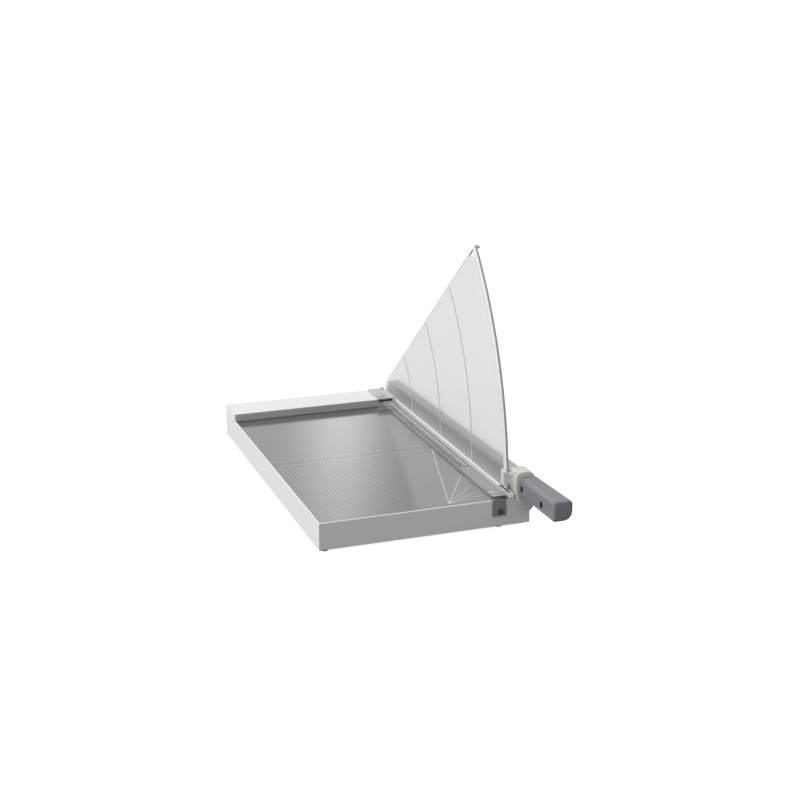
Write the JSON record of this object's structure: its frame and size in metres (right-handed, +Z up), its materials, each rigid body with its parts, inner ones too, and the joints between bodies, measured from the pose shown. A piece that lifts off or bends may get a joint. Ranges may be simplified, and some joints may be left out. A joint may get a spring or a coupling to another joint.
{
  "type": "guillotine paper cutter",
  "caption": "Bench guillotine paper cutter: ruled table in a light grey base, tall frosted sector guard, hinged blade arm with a grip, spring-lifted paper clamp strip and back stop ledge.",
  "frame": {"origin": "on the ground, under the middle of the whole object at rest, handle included", "axes": "+X towards the blade side, +Y towards the back ledge and the arm's pivot (the handle is at -Y), +Z up"},
  "size_m": [0.286, 0.598, 0.3432],
  "materials": {
    "housing_plastic": "semi-gloss, light grey",
    "dark_cover": "matt",
    "foot_rubber": "matt",
    "plated_steel": "zinc plated",
    "table_sheet": "gloss, with fine light ruling lines",
    "rule_plastic": "satin",
    "blade_steel": "ground",
    "rail_aluminium": "satin",
    "black_plastic": "matt",
    "guard_plastic": "frosted translucent plastic",
    "rim_plastic": "satin",
    "clear_plastic": "clear, gloss",
    "smoked_plastic": "gloss",
    "nylon": "natural",
    "arm_paint": "satin, light grey",
    "collar_plastic": "satin, off-white",
    "grip_plastic": "fine matt texture"
  },
  "bodies": {
    "base": {"base_housing": "housing_plastic", "bottom_cover": "dark_cover", "foot_front_left": "foot_rubber", "foot_front_right": "foot_rubber", "foot_rear_left": "foot_rubber", "foot_rear_right": "foot_rubber", "foot_screw_front_left": "plated_steel", "foot_screw_front_right": "plated_steel", "foot_screw_rear_left": "plated_steel", "foot_screw_rear_right": "plated_steel", "table_plate": "table_sheet", "back_stop_rule": "rule_plastic", "counter_blade": "blade_steel", "blade_support_bar": "plated_steel", "counter_blade_screw_1": "plated_steel", "counter_blade_screw_2": "plated_steel", "counter_blade_screw_3": "plated_steel", "guard_rail": "rail_aluminium", "guard_rail_screw_1": "plated_steel", "guard_rail_screw_2": "plated_steel", "guard_stop_pin": "plated_steel", "front_bracket_screw": "plated_steel", "rear_bracket_screw": "plated_steel", "clamp_spring_front": "plated_steel", "clamp_spring_rear": "plated_steel", "pivot_bracket": "plated_steel", "pivot_bracket_screw_1": "plated_steel", "pivot_bracket_screw_2": "plated_steel", "pivot_bolt": "plated_steel", "nut_washer": "plated_steel", "pivot_nut": "plated_steel", "rail_end_cap": "black_plastic", "rail_clip": "black_plastic", "guard_sheet": "guard_plastic", "guard_rim": "rim_plastic", "front_clamp_bracket": "clear_plastic", "rear_clamp_bracket": "clear_plastic", "arm_washer": "nylon"},
    "arm": {"blade_arm": "arm_paint", "cutting_blade": "blade_steel", "blade_heel_plate": "black_plastic", "handle_tang": "plated_steel", "handle_collar": "collar_plastic", "handle_shell_left": "grip_plastic", "handle_shell_right": "grip_plastic", "blade_screw_1": "plated_steel", "blade_screw_2": "plated_steel", "blade_screw_3": "plated_steel", "blade_screw_4": "plated_steel", "heel_plate_screw_1": "plated_steel", "heel_plate_screw_2": "plated_steel", "tang_rivet_1": "plated_steel", "tang_rivet_2": "plated_steel", "handle_screw_1": "plated_steel", "handle_screw_2": "plated_steel"},
    "clamp": {"clamp_strip": "clear_plastic", "clamp_finger_plate": "smoked_plastic"}
  },
  "joints": [
    {"name": "arm_hinge", "type": "hinge", "parent": "base", "child": "arm", "pos_m": [0.11901, 0.287, 0.0365], "axis": [-1, 0, 0], "range_deg": [0, 34]},
    {"name": "clamp_press", "type": "slide", "parent": "base", "child": "clamp", "axis": [0, 0, 1], "range_m": [-0.0004, 0], "stiffness_N_per_m": 600, "springref_m": 0.001, "deforming": ["clamp_spring_front", "clamp_spring_rear"]}
  ]
}
